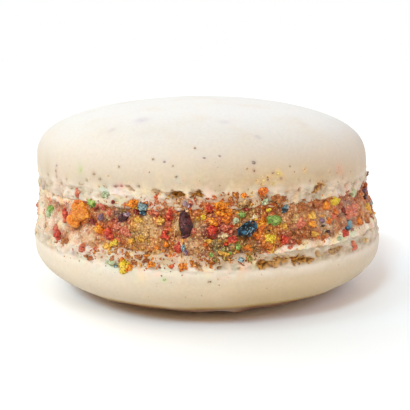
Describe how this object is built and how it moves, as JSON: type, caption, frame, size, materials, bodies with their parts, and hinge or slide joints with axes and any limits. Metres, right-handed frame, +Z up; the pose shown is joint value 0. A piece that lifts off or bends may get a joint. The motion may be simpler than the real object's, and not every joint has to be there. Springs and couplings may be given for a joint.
{
  "type": "french macaron",
  "caption": "Round french macaron: domed meringue shells with ruffled feet round a disc of butter cream, its side coated in coloured cereal crumbs.",
  "frame": {"origin": "on the table, at the centre of the flat spot that the lower shell stands on, which is the middle of that shell", "axes": "+Z up through both shells, +X to the right of the side that faces the front, +Y from the front to the back"},
  "size_m": [0.047, 0.0474, 0.0257],
  "materials": {
    "almond_meringue": "matt, smooth baked skin over an airy, ruffled foot",
    "butter_cream": "soft satin",
    "cereal_crumbs": "rough broken crumbs in many colours, slightly sugary"
  },
  "bodies": {
    "root": {"lower_shell": "almond_meringue", "butter_cream": "butter_cream", "crumb_coat": "cereal_crumbs", "upper_shell": "almond_meringue"}
  },
  "joints": []
}
